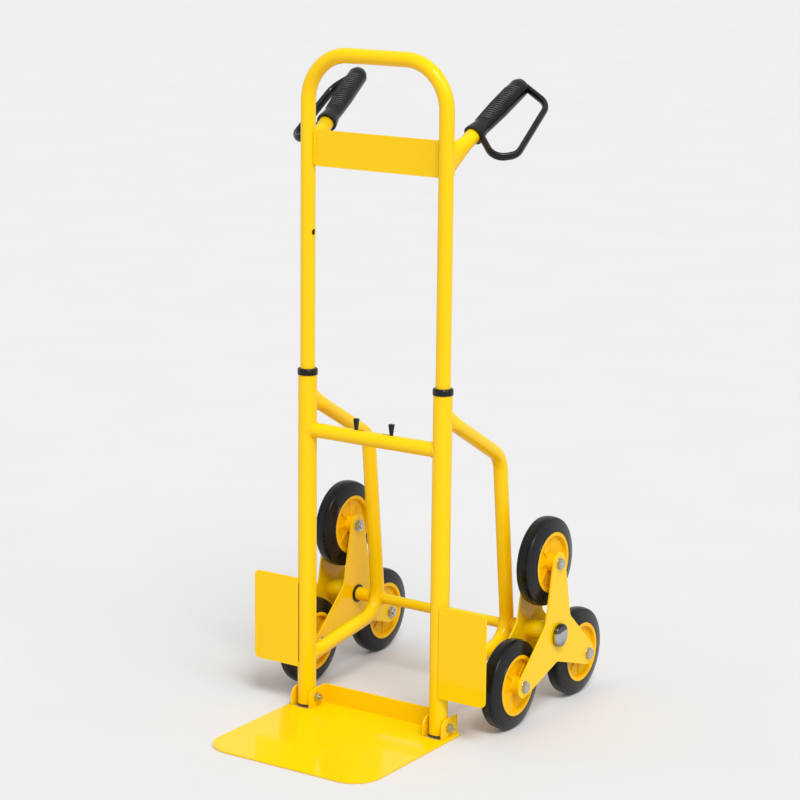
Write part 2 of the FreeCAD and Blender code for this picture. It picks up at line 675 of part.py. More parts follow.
def make_grip(side, sign):
    """Moulded grip with a closed knuckle guard on its outer side."""
    name = f"grip_{side}"
    rotation = stub_rotation(sign, value("guard_roll"))
    body = new_body(name, x=f"{sign} * upright_x", z="stub_root_z", rotation=rotation)
    profile = new_sketch(body, f"{name}_profile", "XZ_Plane")
    polygon(profile, [("grip_bore", "grip_start"), ("grip_rim_r", "grip_start"),
                      ("grip_rim_r", "grip_start + grip_rim_deep"),
                      ("grip_r", "grip_start + grip_neck"), ("grip_palm_r", "grip_start + grip_swell"),
                      ("grip_palm_r", "grip_end - grip_crown"),
                      ("grip_palm_r * 0.8", "grip_end - grip_crown / 3"),
                      ("grip_palm_r / 2", "grip_end"), ("0", "grip_end"), ("0", "stub_end + grip_floor"),
                      ("grip_bore", "stub_end + grip_floor")])
    revolve(body, profile, "V_Axis")
    start = ("guard_foot_x", "grip_start + guard_foot_z")
    knee = ("guard_knee_x", "grip_start + guard_knee_z")
    corners = [start, knee, ("guard_low_x", "grip_start + guard_low_reach"),
               ("guard_top_x", "grip_start + guard_top_reach"), ("guard_head_x", "grip_start + guard_head_z")]
    spine = new_sketch(body, f"{name}_guard_line", "XZ_Plane")
    bent_line(spine, [(f"{sign} * {x}", z) for x, z in corners], "hand_guard_bend")
    run_x = value(knee[0]) - value(start[0])
    run_z = value(knee[1]) - value(start[1])
    tilt = Rotation(Vector(0, 1, 0), sign * math.degrees(math.atan2(run_x, run_z)))
    quarter = Rotation(Vector(0, 0, 1), 90)
    foot = (f"{sign} * {start[0]}", "0", start[1])
    section = tilted_sketch(body, f"{name}_guard_section", foot, tilt * quarter)
    ellipse(section, "hand_guard_wide", "hand_guard_half")
    sweep(body, section, spine)
    bore = new_sketch(body, f"{name}_bore", "XY_Plane", "grip_start - 1")
    circle(bore, "grip_bore")
    one_way_pocket(body, bore, "stub_end + grip_floor + 1 - grip_start", reverse=True)
    node(name, body)


# ---------------------------------------------------------------- latch

def make_latch(side, sign):
    """Lever with its slider, and the steel pin it pulls out of the upper tube's hole."""
    name = f"latch_lever_{side}"
    body = new_body(name, x=f"{sign} * latch_x", z="crossbar_z")
    slider = new_sketch(body, f"{name}_slider", "YZ_Plane")
    circle(slider, "slider_r")
    pad(body, slider, "2 * slider_half", symmetric=True)
    stem = new_sketch(body, f"{name}_stem", "XZ_Plane")
    rectangle(stem, "-lever_foot / 2", "lever_foot / 2", "0", "lever_top_z - crossbar_z - lever_stem_drop")
    pad(body, stem, "latch_slot_wide - 2 * slide_gap", symmetric=True)
    head = new_sketch(body, f"{name}_head", "XZ_Plane")
    neck_z = "upper_r + lever_neck"
    top_z = "lever_top_z - crossbar_z"
    polygon(head, [("-lever_foot / 2", neck_z), ("lever_foot / 2", neck_z), ("lever_head / 2", top_z),
                   ("-lever_head / 2", top_z)])
    paddle = pad(body, head, "lever_wide", symmetric=True)
    fillet(body, paddle, "lever_round", lambda edge, middle: middle.z > value(top_z) - 0.1
           and straight_along(edge, Vector(0, 1, 0)))
    bore = new_sketch(body, f"{name}_bore", "YZ_Plane")
    circle(bore, "latch_pin_r + running_gap")
    pocket(body, bore)
    node(name, body)
    pin_name = f"latch_pin_{side}"
    rod = new_body(pin_name, z="crossbar_z")
    tail = f"{sign} * (latch_x - slider_half - pin_overlap)"
    section = new_sketch(rod, f"{pin_name}_section", "YZ_Plane", tail)
    circle(section, "latch_pin_r")
    reach = "upright_x - upper_r - pin_short - latch_x + slider_half + pin_overlap"
    pad(rod, section, reach, reverse=sign < 0)
    node(pin_name, rod)


# ---------------------------------------------------------------- toe plate

def make_toe_plate():
    """Folding steel plate: round front corners, a back flange and a slot under each upright."""
    body = new_body("toe_plate")
    outline = new_sketch(body, "toe_plate_outline", "XY_Plane")
    rectangle(outline, "-toe_half", "toe_half", "-toe_front", "toe_back")
    plate = pad(body, outline, "sheet_steel")
    fillet(body, plate, "toe_corner", lambda edge, middle: straight_along(edge, Vector(0, 0, 1))
           and middle.y < 1 - value("toe_front"))
    flange = new_sketch(body, "toe_plate_flange", "XY_Plane")
    inner_ear = "upright_x - lower_r - ear_gap - sheet_steel"
    rectangle(flange, f"-({inner_ear})", inner_ear, "toe_back - sheet_steel", "toe_back")
    pad(body, flange, "toe_flange_z")
    slots = new_sketch(body, "toe_plate_slots", "XY_Plane")
    for sign in SIDES.values():
        middle = f"{sign} * upright_x"
        rectangle(slots, f"{middle} - toe_slot_half", f"{middle} + toe_slot_half",
                  "-toe_slot_front", "toe_slot_back")
    pocket(body, slots)
    node("toe_plate", body)


def make_ear(name, near_x):
    """Upright lug on the toe plate, beside an upright; near_x is its inner face."""
    body = new_body(name, x=near_x)
    outline = new_sketch(body, f"{name}_outline", "YZ_Plane")
    rectangle(outline, "-ear_front", "toe_back", "sheet_steel", "toe_flange_z")
    circle(outline, "toe_bolt_r + running_gap", "0", "pivot_z")
    circle(outline, "ear_hole_r", "ear_hole_y", "ear_hole_z")
    plate = pad(body, outline, "sheet_steel")
    fillet(body, plate, "ear_corner", lambda edge, middle: straight_along(edge, Vector(1, 0, 0))
           and middle.y < 0 and middle.z > value("toe_flange_z") - 1)
    return body


# ---------------------------------------------------------------- stars and wheels

def make_star_plate(name, x):
    """Three-armed plate: straight-sided arms with round tips and filleted corners."""
    body = new_body(name, x=x, y="axle_y", z="axle_z")
    arm = new_sketch(body, f"{name}_arm", "YZ_Plane")
    waist_y = value("star_waist * cos(30)")
    waist_z = value("star_waist * sin(30)")
    tip = Vector(0, value("star_arm"), 0)
    corner = Vector(waist_y, waist_z, 0)
    reach = (tip - corner).Length
    touch = math.pi / 2 - math.acos(value("star_tip_r") / reach) - math.atan2(waist_y, tip.y - waist_z)
    touch_point = tip + Vector(math.cos(touch), math.sin(touch), 0) * value("star_tip_r")
    mirror = Vector(-touch_point.x, touch_point.y, 0)
    crown = tip + Vector(0, value("star_tip_r"), 0)
    side_a = arm.addGeometry(Part.LineSegment(Vector(), corner))
    side_b = arm.addGeometry(Part.LineSegment(corner, touch_point))
    round_tip = arm.addGeometry(Part.Arc(touch_point, crown, mirror))
    side_c = arm.addGeometry(Part.LineSegment(mirror, Vector(-corner.x, corner.y, 0)))
    side_d = arm.addGeometry(Part.LineSegment(Vector(-corner.x, corner.y, 0), Vector()))
    arm.addConstraint(Sketcher.Constraint("Coincident", side_a, 1, -1, 1))
    arm.addConstraint(Sketcher.Constraint("Coincident", side_a, 2, side_b, 1))
    arm.addConstraint(Sketcher.Constraint("Tangent", side_b, 2, round_tip, 1))
    arm.addConstraint(Sketcher.Constraint("Tangent", round_tip, 2, side_c, 1))
    arm.addConstraint(Sketcher.Constraint("Coincident", side_c, 2, side_d, 1))
    arm.addConstraint(Sketcher.Constraint("Coincident", side_d, 2, -1, 1))
    pin(arm, side_b, 1, "star_waist * cos(30)", "star_waist * sin(30)")
    pin(arm, side_d, 1, "-star_waist * cos(30)", "star_waist * sin(30)")
    pin(arm, round_tip, 3, "0", "star_arm")
    dimension(arm, "Radius", "star_tip_r", round_tip)
    first = pad(body, arm, "sheet_steel", symmetric=True)
    star = around(body, [first], "X_Axis", STAR_ARMS)
    fillet(body, star, "star_corner", lambda edge, middle: straight_along(edge, Vector(1, 0, 0))
           and abs(math.hypot(middle.y, middle.z) - value("star_waist")) < 0.5)
    holes = new_sketch(body, f"{name}_holes", "YZ_Plane")
    circle(holes, "sleeve_bore")
    for arm_index in range(STAR_ARMS):
        angle = 90 + 360 / STAR_ARMS * arm_index
        circle(holes, "bolt_r + running_gap", f"star_arm * cos({angle})", f"star_arm * sin({angle})")
    pocket(body, holes)
    node(name, body)


def make_star_sleeve(side, sign):
    """Tube welded between the two plates of a star."""
    name = f"star_sleeve_{side}"
    body = new_body(name, x=f"{sign} * (star_in_x + star_out_x) / 2", y="axle_y", z="axle_z")
    section = new_sketch(body, f"{name}_section", "YZ_Plane")
    ring(section, "sleeve_r", "sleeve_bore")
    pad(body, section, "star_out_x - star_in_x - sheet_steel", symmetric=True)
    node(name, body)


def make_star_bush(name, face_x, turned):
    """Flanged plastic bush: the flange lies on a star plate, the barrel in the sleeve."""
    body = new_body(name, x=face_x, y="axle_y", z="axle_z", rotation=HALF_TURN if turned else Rotation())
    profile = new_sketch(body, f"{name}_profile", "XZ_Plane")
    bore = "axle_r + running_gap"
    barrel = "sleeve_bore - press_gap"
    polygon(profile, [("-bush_deep", bore), ("bush_flange", bore), ("bush_flange", "bush_flange_r"),
                      ("0", "bush_flange_r"), ("0", barrel), ("-bush_deep", barrel)])
    revolve(body, profile, "H_Axis")
    return body


def half_ellipse(sketch, across, foot, crown):
    """The half of an ellipse above y = foot, closed along it: `across` each way, up to `crown`."""
    centre = Vector(0, value(foot), 0)
    top = Vector(0, value(crown), 0)
    side = centre - Vector(value(across), 0, 0)
    whole = Part.Ellipse(top, side, centre)
    arc = sketch.addGeometry(Part.ArcOfEllipse(whole, -math.pi / 2, math.pi / 2))
    low = Vector(value(across), value(foot), 0)
    base = sketch.addGeometry(Part.LineSegment(Vector(-low.x, low.y, 0), low))
    sketch.addConstraint(Sketcher.Constraint("Coincident", arc, 2, base, 1))
    sketch.addConstraint(Sketcher.Constraint("Coincident", base, 2, arc, 1))
    sketch.exposeInternalGeometry(arc)
    pin(sketch, arc, 3, "0", foot)
    pin(sketch, base, 2, across, foot)
    dimension(sketch, "DistanceY", foot, base, 1)
    sketch.addConstraint(Sketcher.Constraint("Vertical", base + 1))
    dimension(sketch, "Distance", f"2 * (({crown}) - ({foot}))", base + 1)


def make_tyre(name, x, y, z):
    """Solid rubber tyre with a round crown."""
    body = new_body(name, x=x, y=y, z=z)
    profile = new_sketch(body, f"{name}_profile", "XZ_Plane")
    half_ellipse(profile, "tyre_half", "rim_r", "tyre_r")
    revolve(body, profile, "H_Axis")
    node(name, body)


def wheel_body(name, x, y, z):
    """A body at a wheel's centre whose own +X points outwards."""
    return new_body(name, x=x, y=y, z=z, rotation=Rotation() if value(x) > 0 else HALF_TURN)


def make_hub(name, x, y, z):
    """Moulded hub: rim ring, web, tapered boss and eight ribs on both sides."""
    body = wheel_body(name, x, y, z)
    profile = new_sketch(body, f"{name}_profile", "XZ_Plane")
    bore = "wheel_bush_r + 0.05"
    rim = "rim_r - 0.05"
    ring_in = "rim_r - rim_thick"
    ring_foot = "rim_r - rim_thick - rim_draft"
    polygon(profile, [("-boss_in", bore), ("boss_out", bore), ("boss_out", "boss_r"),
                      ("web_half", "boss_root_r"), ("web_half", ring_foot), ("rim_half", ring_in),
                      ("rim_half", rim), ("-rim_half", rim), ("-rim_half", ring_in),
                      ("-web_half", ring_foot), ("-web_half", "boss_root_r"), ("-boss_in", "boss_r")])
    revolve(body, profile, "H_Axis")
    rib = new_sketch(body, f"{name}_rib", "XY_Plane")
    rectangle(rib, "-rib_half", "rib_half", "boss_r", "rim_r - rim_thick / 2")
    one_rib = pad(body, rib, "rib_thick", symmetric=True)
    around(body, [one_rib], "X_Axis", HUB_RIBS)
    node(name, body)


def make_wheel_bush(name, x, y, z):
    """Sleeve that runs on the wheel bolt."""
    body = wheel_body(name, x, y, z)
    section = new_sketch(body, f"{name}_section", "YZ_Plane", "-boss_in - wheel_bush_proud")
    ring(section, "wheel_bush_r", "bolt_r + running_gap")
    pad(body, section, "boss_in + boss_out + 2 * wheel_bush_proud")
    node(name, body)


def make_star(side, sign):
    """Two plates, the sleeve and bushes between them, and three bolted wheels."""
    make_star_plate(f"star_outer_plate_{side}", f"{sign} * star_out_x")
    make_star_plate(f"star_inner_plate_{side}", f"{sign} * star_in_x")
    make_star_sleeve(side, sign)
    half = "sheet_steel / 2"
    group(f"star_bushes_{side}", [
        make_star_bush(f"star_bush_out_{side}", f"{sign} * (star_out_x + {half})", sign < 0),
        make_star_bush(f"star_bush_in_{side}", f"{sign} * (star_in_x - {half})", sign > 0)])
    bolts = []
    nuts = []
    for place, angle in (("top", 90), ("front", 210), ("rear", 330)):
        y = f"axle_y + star_arm * cos({angle})"
        z = f"axle_z + star_arm * sin({angle})"
        shank = "star_out_x - star_in_x + sheet_steel + nut_tall + bolt_tail"
        head_x = f"{sign} * (star_out_x + {half})"
        bolts.append(make_bolt(f"wheel_bolt_{side}_{place}", head_x, shank, sign, y, z))
        nuts.append(make_nut(f"wheel_nut_{side}_{place}", f"{sign} * (star_in_x - {half})", sign, y, z))
        x = f"{sign} * wheel_x"
        make_tyre(f"tyre_{side}_{place}", x, y, z)
        make_hub(f"hub_{side}_{place}", x, y, z)
        make_wheel_bush(f"wheel_bush_{side}_{place}", x, y, z)
    group(f"wheel_bolts_{side}", bolts)
    group(f"wheel_nuts_{side}", nuts)


# ---------------------------------------------------------------- the whole truck

def make_toe_hinges():
    """Four ears on the toe plate and the bolt and nut through each pair."""
    ears = []
    bolts = []
    nuts = []
    outer_face = "upright_x + lower_r + ear_gap"
    inner_face = "upright_x - lower_r - ear_gap"
    for side, sign in SIDES.items():
        low_x = {1: outer_face, -1: f"-({outer_face}) - sheet_steel"}[sign]
        ears.append(make_ear(f"toe_ear_out_{side}", low_x))
        low_x = {1: f"{inner_face} - sheet_steel", -1: f"-({inner_face})"}[sign]
        ears.append(make_ear(f"toe_ear_in_{side}", low_x))
        head_x = f"{sign} * ({outer_face} + sheet_steel + pivot_slack)"
        shank = "2 * (lower_r + ear_gap + sheet_steel + pivot_slack) + nut_tall + bolt_tail"
        bolts.append(make_bolt(f"toe_bolt_{side}", head_x, shank, sign, z="pivot_z",
                               radius="toe_bolt_r", flats="toe_bolt_flats"))
        seat_x = f"{sign} * ({inner_face} - sheet_steel - pivot_slack)"
        nuts.append(make_nut(f"toe_nut_{side}", seat_x, sign, z="pivot_z",
                             radius="toe_bolt_r", flats="toe_bolt_flats"))
    group("toe_ears", ears)
    group("toe_pivot_bolts", bolts)
    group("toe_pivot_nuts", nuts)


make_crossbar()
make_axle()
make_handle_loop()
make_badge_plate()
make_toe_plate()
make_toe_hinges()
for side_name, side_sign in SIDES.items():
    make_upright(side_name, side_sign)
    make_collar(side_name, side_sign)
    make_guard_plate(side_name, side_sign)
    make_rear_frame(side_name, side_sign)
    make_handle_stub(side_name, side_sign)
    make_grip(side_name, side_sign)
    make_latch(side_name, side_sign)
    make_star(side_name, side_sign)
group("axle_caps", [make_axle_cap(side, sign) for side, sign in SIDES.items()])
group("axle_spacers", [make_axle_spacer(side, sign) for side, sign in SIDES.items()])
group("slide_plugs", [make_slide_plug(side, sign) for side, sign in SIDES.items()])

# ---------------------------------------------------------------- checks and output

doc.recompute()
failed = [item.Name for item in doc.Objects if {"Invalid", "Error"} & set(item.State)]
if failed:
    raise RuntimeError(f"failed objects: {failed}")
os.makedirs("parts", exist_ok=True)
for node_name, piece in NODES.items():
    shape = piece.Shape
    if shape.isNull() or not shape.isValid():
        raise RuntimeError(f"bad shape: {node_name}")
    shape.exportStep(f"parts/{node_name}.step")
    box = shape.BoundBox
    print(f"{node_name:26s} solids {len(shape.Solids)} volume {shape.Volume:11.1f} "
          f"x {box.XMin:8.2f} {box.XMax:8.2f} y {box.YMin:8.2f} {box.YMax:8.2f} "
          f"z {box.ZMin:8.2f} {box.ZMax:8.2f}")
print(len(NODES), "nodes")
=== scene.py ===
import json
import math

import bmesh
import bpy
from mathutils import Matrix, Vector
from mathutils.bvhtree import BVHTree


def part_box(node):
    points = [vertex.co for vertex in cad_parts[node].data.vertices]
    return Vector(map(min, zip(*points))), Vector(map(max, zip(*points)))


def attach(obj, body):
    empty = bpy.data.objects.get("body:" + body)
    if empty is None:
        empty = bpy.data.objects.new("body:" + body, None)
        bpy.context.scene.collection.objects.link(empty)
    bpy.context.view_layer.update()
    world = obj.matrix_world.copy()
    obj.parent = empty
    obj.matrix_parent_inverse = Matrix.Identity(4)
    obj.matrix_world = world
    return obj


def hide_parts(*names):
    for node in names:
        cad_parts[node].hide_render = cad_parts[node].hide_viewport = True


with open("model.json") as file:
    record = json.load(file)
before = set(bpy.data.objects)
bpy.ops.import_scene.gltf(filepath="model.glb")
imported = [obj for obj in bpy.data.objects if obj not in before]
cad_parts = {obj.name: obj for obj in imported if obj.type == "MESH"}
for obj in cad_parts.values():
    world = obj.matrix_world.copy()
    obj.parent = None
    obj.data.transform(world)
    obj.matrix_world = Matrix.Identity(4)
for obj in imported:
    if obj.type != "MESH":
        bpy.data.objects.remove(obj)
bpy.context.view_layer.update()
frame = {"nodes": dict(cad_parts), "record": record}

# A folding stair-climbing hand truck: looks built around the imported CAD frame.  Metres, +Z up.

MM = 0.001
SIDES = {"left": -1, "right": 1}
ARM_ANGLES = {"top": 90, "front": 210, "rear": 330}
NODES = frame["nodes"]
scene = bpy.context.scene

# Sizes of the design that the pieces need, in millimetres and degrees.
UPRIGHT_X = 134.3
UPRIGHT_R = 16
TUBE_R = 12.5
CROSSBAR_Z = 491.6
REAR_TOP_Z, REAR_TOP_SLOPE = 550.5, -0.57
REAR_LOW_Z, REAR_LOW_SLOPE = 88.5, 0.128
STUB_ROOT_Z, STUB_RISE, STUB_SPLAY = 962, 30.5, 7.9
STUB_FLAT_THICK, STUB_FLAT_TALL = 6.5, 25
AXLE_Y, AXLE_Z = 217.3, 140.3
STAR_ARM = 126
STAR_OUTER_FACE, STAR_INNER_FACE = 236, 178
GRIP_START = 76
HUB_RIM_R = 52.1


# ---------------------------------------------------------------- materials

class Recipe:
    """A Principled material with short names for the nodes it is built from."""

    def __init__(self, name, **inputs):
        self.material = bpy.data.materials.new(name)
        self.material.use_nodes = True
        self.nodes = self.material.node_tree.nodes
        self.links = self.material.node_tree.links
        self.shader = self.nodes["Principled BSDF"]
        self.place = self.nodes.new("ShaderNodeTexCoord").outputs["Object"]
        for key, number in inputs.items():
            self.shader.inputs[key.replace("_", " ")].default_value = number

    def noise(self, scale, detail=2.0, rough=0.5, stretch=None):
        node = self.nodes.new("ShaderNodeTexNoise")
        node.inputs["Scale"].default_value = scale
        node.inputs["Detail"].default_value = detail
        node.inputs["Roughness"].default_value = rough
        source = self.place
        if stretch:
            mapping = self.nodes.new("ShaderNodeMapping")
            mapping.inputs["Scale"].default_value = stretch
            self.links.new(source, mapping.inputs["Vector"])
            source = mapping.outputs["Vector"]
        self.links.new(source, node.inputs["Vector"])
        return node.outputs["Fac"]

    def cells(self, scale):
        node = self.nodes.new("ShaderNodeTexVoronoi")
        node.inputs["Scale"].default_value = scale
        self.links.new(self.place, node.inputs["Vector"])
        return node.outputs["Distance"]

    def spread(self, source, low, high, start=0.3, end=0.7):
        """The source's values from start to end stretched to run from low to high."""
        node = self.nodes.new("ShaderNodeMapRange")
        for key, number in (("From Min", start), ("From Max", end), ("To Min", low), ("To Max", high)):
            node.inputs[key].default_value = number
        self.links.new(source, node.inputs["Value"])
        return node.outputs["Result"]

    def colours(self, source, stops):
        node = self.nodes.new("ShaderNodeValToRGB")
        ramp = node.color_ramp
        while len(ramp.elements) < len(stops):
            ramp.elements.new(1.0)
        for element, (position, colour) in zip(ramp.elements, stops):
            element.position = position
            element.color = (*colour, 1)
        self.links.new(source, node.inputs["Fac"])
        self.links.new(node.outputs["Color"], self.shader.inputs["Base Color"])

    def total(self, first, second):
        node = self.nodes.new("ShaderNodeMath")
        node.operation = "ADD"
        self.links.new(first, node.inputs[0])
        self.links.new(second, node.inputs[1])
        return node.outputs["Value"]

    def height_part(self, source):
        """The Z part of a vector."""
        node = self.nodes.new("ShaderNodeSeparateXYZ")
        self.links.new(source, node.inputs["Vector"])
        return node.outputs["Z"]

    def facing_up(self, low, high):
        """Runs from low on faces that look down to high on faces that look up; the materials use it to paint
        light from above into their colour.
        """
        normal = self.nodes.new("ShaderNodeNewGeometry").outputs["Normal"]
        return self.spread(self.height_part(normal), low, high, -1.0, 1.0)

    def feed(self, source, socket):
        self.links.new(source, self.shader.inputs[socket])

    def bump(self, source, distance, strength=1.0, under=None):
        node = self.nodes.new("ShaderNodeBump")
        node.inputs["Distance"].default_value = distance
        node.inputs["Strength"].default_value = strength
        self.links.new(source, node.inputs["Height"])
        if under:
            self.links.new(under, node.inputs["Normal"])
        self.links.new(node.outputs["Normal"], self.shader.inputs["Normal"])
        return node.outputs["Normal"]


def powder_coat():
    """Gloss powder coat with painted light: lemon on faces that look up, orange on faces that look down;
    also a slow change of tone, orange peel and a few fine nibs.
    """
    coat = Recipe("yellow_powder_coat", Coat_Weight=0.5, Coat_Roughness=0.06, Coat_IOR=1.4, IOR=1.16)
    # painted light and shade: the colour runs from orange on faces that look down to lemon on faces that
    # look up, plus a slow random tone
    painted_light_and_tone = coat.total(coat.facing_up(0.03, 0.89), coat.spread(coat.noise(5, 1), 0.0, 0.05))
    coat.colours(painted_light_and_tone, [(0.05, (0.88, 0.46, 0.0)), (0.5, (0.93, 0.58, 0.0)), (0.95, (0.93, 0.665, 0.0))])
    coat.feed(coat.spread(coat.noise(40, 2), 0.27, 0.31), "Roughness")
    peel = coat.bump(coat.noise(520, 1), 0.00003, 0.2)
    coat.bump(coat.noise(1300, 2), 0.00002, 0.3, peel)
    return coat.material


def moulded_yellow():
    """Moulded polypropylene: deeper yellow, softer shine, faint flow marks."""
    plastic = Recipe("yellow_plastic", IOR=1.22)
    plastic.colours(plastic.noise(30, 4, 0.6), [(0.3, (0.87, 0.475, 0.0)), (0.7, (0.91, 0.52, 0.0))])
    plastic.feed(plastic.spread(plastic.noise(90, 2), 0.30, 0.42), "Roughness")
    plastic.bump(plastic.noise(900, 2), 0.00004, 0.6)
    return plastic.material


def moulded_black(name, ior, shine, grain, depth, painted_top_highlight=(0.045, 0.046, 0.048)):
    """Black moulded plastic with a fine grain and a painted highlight; shine is its roughness range, and its
    last colour is the painted highlight on faces that look up.
    """
    plastic = Recipe(name, IOR=ior)
    # painted highlight: faces that look up turn from black to a lighter grey
    painted_light_and_tone = plastic.total(plastic.facing_up(0.0, 0.85), plastic.spread(plastic.noise(45, 4, 0.6), 0.0, 0.15))
    plastic.colours(painted_light_and_tone, [(0.35, (0.001, 0.001, 0.0012)), (0.6, (0.004, 0.004, 0.0045)),
                           (0.95, painted_top_highlight)])
    plastic.feed(plastic.spread(plastic.noise(120, 3), *shine), "Roughness")
    plastic.bump(plastic.cells(grain), depth, 0.5)
    return plastic.material


def rubber():
    """Solid tyre rubber: charcoal with a dusty bloom and fine pores."""
    tyre = Recipe("tyre_rubber", IOR=1.34)
    tyre.colours(tyre.noise(55, 5, 0.65), [(0.3, (0.004, 0.0045, 0.005)), (0.6, (0.007, 0.0075, 0.008)),
                                           (0.85, (0.012, 0.0125, 0.013))])
    tyre.feed(tyre.spread(tyre.noise(75, 4), 0.22, 0.30), "Roughness")
    fine = tyre.bump(tyre.noise(1500, 2), 0.00004, 0.3)
    tyre.bump(tyre.noise(160, 3), 0.00008, 0.25, fine)
    return tyre.material


def zinc_plate():
    """Bright zinc: fine streaks along the turning marks and a mottled shine."""
    zinc = Recipe("zinc", Metallic=1.0)
    zinc.colours(zinc.noise(260, 4, 0.6), [(0.3, (0.40, 0.40, 0.39)), (0.7, (0.60, 0.61, 0.62))])
    zinc.feed(zinc.spread(zinc.noise(420, 3), 0.2, 0.38), "Roughness")
    zinc.bump(zinc.noise(900, 2, stretch=(0.2, 1, 1)), 0.00004, 0.5)
    return zinc.material


def bright_chrome():
    """Polished cap: nearly mirror-like, with faint handling haze and a painted reflection, dark above a line
    a little over the middle and silver below.
    """
    chrome = Recipe("bright_cap", Metallic=1.0)
    # painted reflection: by height, dark at the lower edge, silver up to a little over the middle, dark
    # above
    rise = chrome.spread(chrome.height_part(chrome.place), 0.0, 0.9, 0.1203, 0.1603)
    haze = chrome.spread(chrome.noise(120, 3), 0.0, 0.1)
    chrome.colours(chrome.total(rise, haze), [(0.0, (0.05, 0.05, 0.055)), (0.30, (0.42, 0.43, 0.44)),
                                              (0.62, (0.50, 0.51, 0.52)), (0.66, (0.10, 0.10, 0.11)),
                                              (1.0, (0.03, 0.03, 0.035))])
    chrome.feed(chrome.spread(chrome.noise(200, 3), 0.06, 0.16), "Roughness")
    chrome.bump(chrome.noise(70, 1), 0.00006, 0.15)
    return chrome.material


def shaded_seam():
    """Painted shadow for the unwelded joint beside a side plate: a dark brown strip that stands in for the
    shade in the gap.
    """
    seam = Recipe("shaded_seam", Roughness=0.7)
    seam.colours(seam.noise(200, 3), [(0.3, (0.05, 0.028, 0.0)), (0.7, (0.10, 0.055, 0.002))])
    seam.bump(seam.noise(900, 2), 0.00005, 0.6)
    return seam.material


MATERIALS = {
    "yellow_powder_coat": powder_coat(),
    "yellow_plastic": moulded_yellow(),
    # the last colour of each black plastic is a painted highlight on faces that look up
    "black_plastic": moulded_black("black_plastic", 1.38, (0.10, 0.18), 700, 0.00002, (0.012, 0.012, 0.013)),
    "black_grip": moulded_black("black_grip", 1.38, (0.16, 0.24), 1100, 0.00002, (0.02, 0.02, 0.021)),
    "tyre_rubber": rubber(),
    "zinc": zinc_plate(),
    "bright_cap": bright_chrome(),
}

# dark material of the strips that paint the shade in the side plates' joints
SEAM_SHADOW = shaded_seam()
# grip ribs with a strong painted highlight: light grey on their upper faces, black below
PAINTED_HIGHLIGHT_RIBS = moulded_black("worn_grip_ribs", 1.45, (0.22, 0.32), 1100, 0.00003, (0.13, 0.132, 0.135))
SLOT_OF = {part["node"]: part["material_slot"] for part in frame["record"]["subparts"]}
for node_name, node in NODES.items():
    node.data.materials.clear()
    node.data.materials.append(MATERIALS[SLOT_OF[node_name]])


# ---------------------------------------------------------------- mesh helpers

def finish_piece(name, mesh, body, slot, material=None):
    """Turns a bmesh into a named piece that rides on a body and wears a slot's material."""
    bmesh.ops.recalc_face_normals(mesh, faces=mesh.faces)
    data = bpy.data.meshes.new(name)
    mesh.to_mesh(data)
    mesh.free()
    piece = bpy.data.objects.new(name, data)
    scene.collection.objects.link(piece)
    data.materials.append(material or MATERIALS[slot])
    data.polygons.foreach_set("use_smooth", [True] * len(data.polygons))
    data.set_sharp_from_angle(angle=math.radians(38))
    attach(piece, body)
    return piece


def join_rings(mesh, rings, closed_along=False):
    """Skins rings of equal length, one after another, with a cap at each open end."""
    count = len(rings[0])
    pairs = list(zip(rings, rings[1:]))
    if closed_along:
        pairs.append((rings[-1], rings[0]))
    for first, second in pairs:
        for index in range(count):
            after = (index + 1) % count
            mesh.faces.new((first[index], first[after], second[after], second[index]))
    if not closed_along:
        mesh.faces.new(list(reversed(rings[0])))
        mesh.faces.new(rings[-1])


BEAD_SIDES = 8
BEAD_PITCH = 3 * MM
BEAD_END, BEAD_GROWTH = 0.35, 0.4


def bead_along(mesh, points, radius, inside, closed=True, ripple=0.0):
    """A bead along points; inside is a point that the bead goes round, or runs past when it is open."""
    rings = []
    count = len(points)
    walked = 0.0
    for index, point in enumerate(points):
        before = points[index - 1] if closed or index else point
        after = points[(index + 1) % count] if closed or index < count - 1 else point
        along = (after - before).normalized()
        out = point - inside
        out = (out - along * out.dot(along)).normalized()
        lift = along.cross(out)
        swell = 1 + ripple * math.sin(2 * math.pi * walked / BEAD_PITCH)
        if not closed:
            swell *= min(1.0, BEAD_END + BEAD_GROWTH * min(index, count - 1 - index))
        ring = []
        for step in range(BEAD_SIDES):
            angle = 2 * math.pi * step / BEAD_SIDES
            offset = out * math.cos(angle) + lift * math.sin(angle)
            ring.append(mesh.verts.new(point + offset * radius * swell))
        rings.append(ring)
        walked += (after - point).length
    join_rings(mesh, rings, closed_along=closed)


def turned(mesh, centre, profile, steps, sign=1):
    """Turns a closed profile of (x, radius) pairs about an axis along X through the centre."""
    rings = []
    for step in range(steps):
        angle = 2 * math.pi * step / steps
        rings.append([mesh.verts.new(centre + Vector((sign * x, r * math.cos(angle), r * math.sin(angle))))
                      for x, r in profile])
    join_rings(mesh, rings, closed_along=True)


# ---------------------------------------------------------------- sharp CAD edges catch the light

EDGE_ROUND = {"side_plate": 0.6, "badge_plate": 0.6, "toe_plate": 0.7, "toe_ears": 0.6,
              "wheel_bolts": 0.5, "wheel_nuts": 0.4, "toe_pivot_bolts": 0.5, "toe_pivot_nuts": 0.4,
              "latch_lever": 0.5}
SHARPEST_SMOOTH, SOFTEST_SHARP = math.radians(30), math.radians(50)
for node_name, node in NODES.items():
    stem = node_name.replace("_left", "").replace("_right", "")
    if stem in EDGE_ROUND:
        weld = node.modifiers.new("one_skin", "WELD")
        weld.merge_threshold = 1e-5
        bevel = node.modifiers.new("edge_round", "BEVEL")
        bevel.width = EDGE_ROUND[stem] * MM
        bevel.segments = 1
        bevel.limit_method = "ANGLE"
        bevel.angle_limit = SOFTEST_SHARP
        split = node.modifiers.new("face_edges", "EDGE_SPLIT")
        split.split_angle = SHARPEST_SMOOTH
        even = node.modifiers.new("even_faces", "WEIGHTED_NORMAL")
        even.weight = 100


# ---------------------------------------------------------------- tyres

